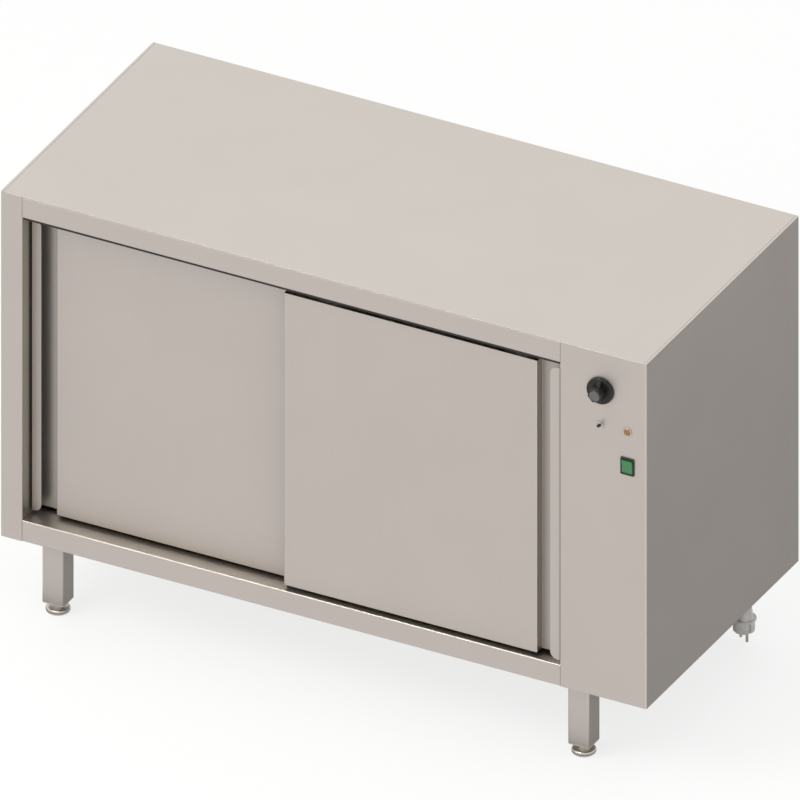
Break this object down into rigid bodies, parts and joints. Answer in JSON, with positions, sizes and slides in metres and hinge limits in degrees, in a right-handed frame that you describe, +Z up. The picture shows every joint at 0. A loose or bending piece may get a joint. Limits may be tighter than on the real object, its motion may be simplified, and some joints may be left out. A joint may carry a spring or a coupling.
{
  "type": "plate warmer cabinet",
  "caption": "Free-standing heated cupboard for plates with sliding doors, a control box and adjustable feet.",
  "frame": {"origin": "on the floor under the middle of the cabinet, knob included", "axes": "+X to the right along the doors, +Y towards the rear, +Z up"},
  "size_m": [1.2, 0.563, 0.81],
  "materials": {
    "stainless_body": "fine satin brushed stainless sheet",
    "stainless_lining": "satin stainless lining sheet",
    "mineral_wool": "mineral wool board",
    "stainless_door": "fine satin brushed stainless sheet",
    "zinc_steel": "bright zinc-plated steel",
    "roller_acetal": "white acetal",
    "track_aluminium": "mill-finish extrusion",
    "leg_steel": "satin stainless square tube",
    "insert_plastic": "grey nylon",
    "foot_steel": "turned stainless",
    "knob_plastic": "black phenolic",
    "cap_plastic": "grey insert",
    "thermostat_housing": "moulded housing",
    "switch_chrome": "bright nickel plate",
    "lever_black": "black polycarbonate",
    "amber_lens": "amber lens",
    "green_lens": "green translucent button",
    "heater_sheath": "heat-tinted tubular sheath",
    "fan_aluminium": "pressed blades",
    "guard_wire": "bright wire",
    "gland_plastic": "grey nylon",
    "cord_sheath": "grey sheathed lead",
    "plug_plastic": "grey moulded plug",
    "plug_nickel": "nickel-plated brass"
  },
  "bodies": {
    "cabinet": {"side_panel_left": "stainless_body", "control_box_panel": "stainless_body", "worktop": "stainless_body", "back_panel": "stainless_body", "floor_pan": "stainless_body", "top_rail": "stainless_body", "bottom_rail": "stainless_body", "lining_left": "stainless_lining", "lining_right": "stainless_lining", "lining_rear": "stainless_lining", "lining_ceiling": "stainless_lining", "lining_floor": "stainless_lining", "shelf": "stainless_lining", "shelf_brackets": "stainless_lining", "insulation": "mineral_wool", "fan_motor": "zinc_steel", "door_track": "track_aluminium", "leg_front_left": "leg_steel", "leg_front_right": "leg_steel", "leg_rear_left": "leg_steel", "leg_rear_right": "leg_steel", "leg_inserts": "insert_plastic", "thermostat": "thermostat_housing", "toggle_body": "switch_chrome", "pilot_bezel": "switch_chrome", "rocker_frame": "lever_black", "floor_guide": "lever_black", "pilot_lens": "amber_lens", "heater_element": "heater_sheath", "fan_guard": "guard_wire", "cable_gland": "gland_plastic", "cord_clip": "gland_plastic", "cord_feed": "cord_sheath", "cord_coil": "cord_sheath", "cord_tail": "cord_sheath", "plug_body": "plug_plastic", "plug_pins": "plug_nickel"},
    "door_left": {"door_left_skin": "stainless_door", "door_left_back": "stainless_door", "door_left_core": "mineral_wool", "door_left_hangers": "zinc_steel"},
    "door_right": {"door_right_skin": "stainless_door", "door_right_back": "stainless_door", "door_right_core": "mineral_wool", "door_right_hangers": "zinc_steel"},
    "roller_left_inner": {"door_left_roller_inner": "roller_acetal"},
    "roller_left_outer": {"door_left_roller_outer": "roller_acetal"},
    "roller_right_inner": {"door_right_roller_inner": "roller_acetal"},
    "roller_right_outer": {"door_right_roller_outer": "roller_acetal"},
    "thermostat_knob": {"knob": "knob_plastic", "knob_cap": "cap_plastic"},
    "fan_switch_lever": {"toggle_lever": "lever_black"},
    "mains_rocker": {"rocker_button": "green_lens"},
    "impeller": {"fan_impeller": "fan_aluminium"},
    "foot_front_left": {"foot_front_left": "foot_steel"},
    "foot_front_right": {"foot_front_right": "foot_steel"},
    "foot_rear_left": {"foot_rear_left": "foot_steel"},
    "foot_rear_right": {"foot_rear_right": "foot_steel"}
  },
  "joints": [
    {"name": "door_left_slide", "type": "slide", "parent": "cabinet", "child": "door_left", "axis": [1, 0, 0], "range_m": [0, 0.475]},
    {"name": "door_right_slide", "type": "slide", "parent": "cabinet", "child": "door_right", "axis": [1, 0, 0], "range_m": [-0.475, 0]},
    {"name": "roller_right_inner_spin", "type": "hinge", "parent": "door_right", "child": "roller_right_inner", "pos_m": [0.002, -0.24515, 0.7941], "axis": [0, 1, 0], "range_deg": [-2732, 0]},
    {"name": "roller_right_outer_spin", "type": "hinge", "parent": "door_right", "child": "roller_right_outer", "pos_m": [0.3574, -0.24515, 0.7941], "axis": [0, 1, 0], "range_deg": [-2732, 0]},
    {"name": "roller_left_inner_spin", "type": "hinge", "parent": "door_left", "child": "roller_left_inner", "pos_m": [-0.122, -0.22115, 0.7941], "axis": [0, 1, 0], "range_deg": [0, 2732]},
    {"name": "roller_left_outer_spin", "type": "hinge", "parent": "door_left", "child": "roller_left_outer", "pos_m": [-0.4774, -0.22115, 0.7941], "axis": [0, 1, 0], "range_deg": [0, 2732]},
    {"name": "thermostat_turn", "type": "hinge", "parent": "cabinet", "child": "thermostat_knob", "pos_m": [0.515, -0.2685, 0.738], "axis": [0, 1, 0], "range_deg": [0, 270]},
    {"name": "fan_switch_throw", "type": "hinge", "parent": "cabinet", "child": "fan_switch_lever", "pos_m": [0.515, -0.261, 0.673], "axis": [1, 0, 0], "range_deg": [0, 24]},
    {"name": "mains_rocker_throw", "type": "hinge", "parent": "cabinet", "child": "mains_rocker", "pos_m": [0.565, -0.2555, 0.606], "axis": [-1, 0, 0], "range_deg": [0, 7]},
    {"name": "impeller_spin", "type": "hinge", "parent": "cabinet", "child": "impeller", "pos_m": [0.47, 0.0315, 0.315], "axis": [1, 0, 0], "continuous": true},
    {"name": "foot_front_left_adjust", "type": "slide", "parent": "cabinet", "child": "foot_front_left", "axis": [0, 0, -1], "range_m": [0, 0.02]},
    {"name": "foot_front_right_adjust", "type": "slide", "parent": "cabinet", "child": "foot_front_right", "axis": [0, 0, -1], "range_m": [0, 0.02]},
    {"name": "foot_rear_left_adjust", "type": "slide", "parent": "cabinet", "child": "foot_rear_left", "axis": [0, 0, -1], "range_m": [0, 0.02]},
    {"name": "foot_rear_right_adjust", "type": "slide", "parent": "cabinet", "child": "foot_rear_right", "axis": [0, 0, -1], "range_m": [0, 0.02]}
  ],
  "couplings": [
    {"joint": "roller_right_inner_spin", "follows": "door_right_slide", "rad_per_m": 100},
    {"joint": "roller_right_outer_spin", "follows": "door_right_slide", "rad_per_m": 100},
    {"joint": "roller_left_inner_spin", "follows": "door_left_slide", "rad_per_m": 100},
    {"joint": "roller_left_outer_spin", "follows": "door_left_slide", "rad_per_m": 100}
  ]
}
